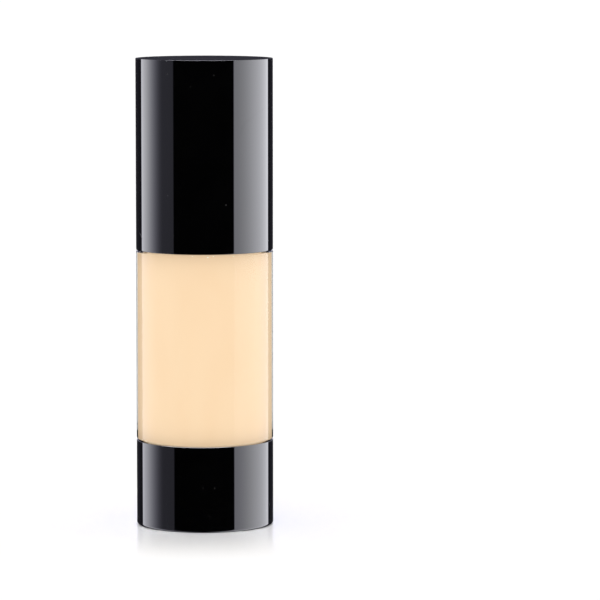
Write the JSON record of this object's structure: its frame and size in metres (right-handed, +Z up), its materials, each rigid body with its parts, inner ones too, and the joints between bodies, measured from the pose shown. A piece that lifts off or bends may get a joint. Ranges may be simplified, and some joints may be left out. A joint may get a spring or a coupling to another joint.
{
  "type": "foundation bottle",
  "caption": "Airless pump bottle for liquid foundation with a clear body, base cup, rising follower, screw-on pump, swivelling press head and pull-off overcap.",
  "frame": {"origin": "centre of the underside, on the surface the bottle stands on", "axes": "+Z up along the bottle's axis, +X the way the spout points"},
  "size_m": [0.034, 0.034, 0.116],
  "materials": {
    "black_gloss": "polished black moulding",
    "clear_plastic": "clear polished copolyester",
    "foundation": "opaque beige cream",
    "natural_plastic": "natural moulded polypropylene",
    "gasket_rubber": "soft white elastomer",
    "steel": "drawn stainless steel"
  },
  "bodies": {
    "container": {"bottle": "clear_plastic", "base_cup": "black_gloss", "base_plug": "natural_plastic", "foundation_fill": "foundation"},
    "follower": {"follower_piston": "natural_plastic"},
    "pump": {"pump_housing": "natural_plastic", "guide_bush": "natural_plastic", "neck_gasket": "gasket_rubber", "return_spring": "steel"},
    "closure": {"screw_closure": "natural_plastic", "collar_sleeve": "black_gloss", "shoulder_ring": "black_gloss"},
    "pump_stem": {"stem": "natural_plastic", "piston_rod": "natural_plastic"},
    "piston": {"pump_piston": "natural_plastic"},
    "head": {"actuator": "black_gloss", "nozzle_insert": "natural_plastic"},
    "ball": {"inlet_ball": "steel"},
    "overcap": {"overcap_shell": "black_gloss", "overcap_liner": "natural_plastic"}
  },
  "joints": [
    {"name": "follower_rise", "type": "slide", "parent": "container", "child": "follower", "axis": [0, 0, 1], "range_m": [0, 0.0472], "deforming": ["foundation_fill"]},
    {"name": "pump_lift", "type": "slide", "parent": "container", "child": "pump", "axis": [0, 0, 1], "range_m": [0, 0.00375]},
    {"name": "closure_turn", "type": "hinge", "parent": "pump", "child": "closure", "pos_m": [0, 0, 0.08], "axis": [0, 0, 1], "range_deg": [0, 450]},
    {"name": "actuator_press", "type": "slide", "parent": "pump", "child": "pump_stem", "axis": [0, 0, -1], "range_m": [0, 0.0055], "stiffness_N_per_m": 2000, "springref_m": -0.003, "deforming": ["return_spring"]},
    {"name": "piston_slip", "type": "slide", "parent": "pump_stem", "child": "piston", "axis": [0, 0, 1], "range_m": [0, 0.0008]},
    {"name": "head_turn", "type": "hinge", "parent": "pump_stem", "child": "head", "pos_m": [0, 0, 0.1], "axis": [0, 0, 1], "continuous": true},
    {"name": "inlet_ball_lift", "type": "slide", "parent": "pump", "child": "ball", "axis": [0, 0, 1], "range_m": [0, 0.0009]},
    {"name": "cap_lift", "type": "slide", "parent": "pump", "child": "overcap", "axis": [0, 0, 1], "range_m": [0, 0.064]}
  ],
  "couplings": [
    {"joint": "pump_lift", "follows": "closure_turn", "m_per_rad": 0.00047746}
  ]
}
